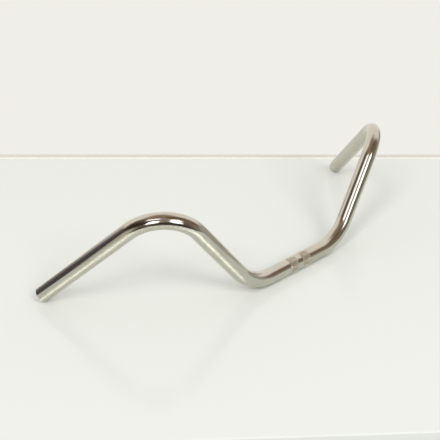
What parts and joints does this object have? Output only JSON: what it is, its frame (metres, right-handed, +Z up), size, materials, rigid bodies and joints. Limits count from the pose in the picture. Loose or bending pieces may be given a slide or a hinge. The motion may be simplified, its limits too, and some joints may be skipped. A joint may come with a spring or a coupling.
{
  "type": "moped handlebar",
  "caption": "Bare chromed steel tube handlebar, bent up and back at both sides, with knurled clamp bands in its middle and open ends.",
  "frame": {"origin": "on the surface that the bar lies on, under the middle of its outer box", "axes": "+Z up; X along the middle straight, from one end of the bar to the other; +Y the way the two ends sweep, away from the middle straight"},
  "size_m": [0.6422, 0.191, 0.1478],
  "materials": {
    "chromed_tube": "polished chrome, hazy and a little worn; the knurled bands are dull"
  },
  "bodies": {
    "root": {"handlebar_tube": "chromed_tube"}
  },
  "joints": []
}
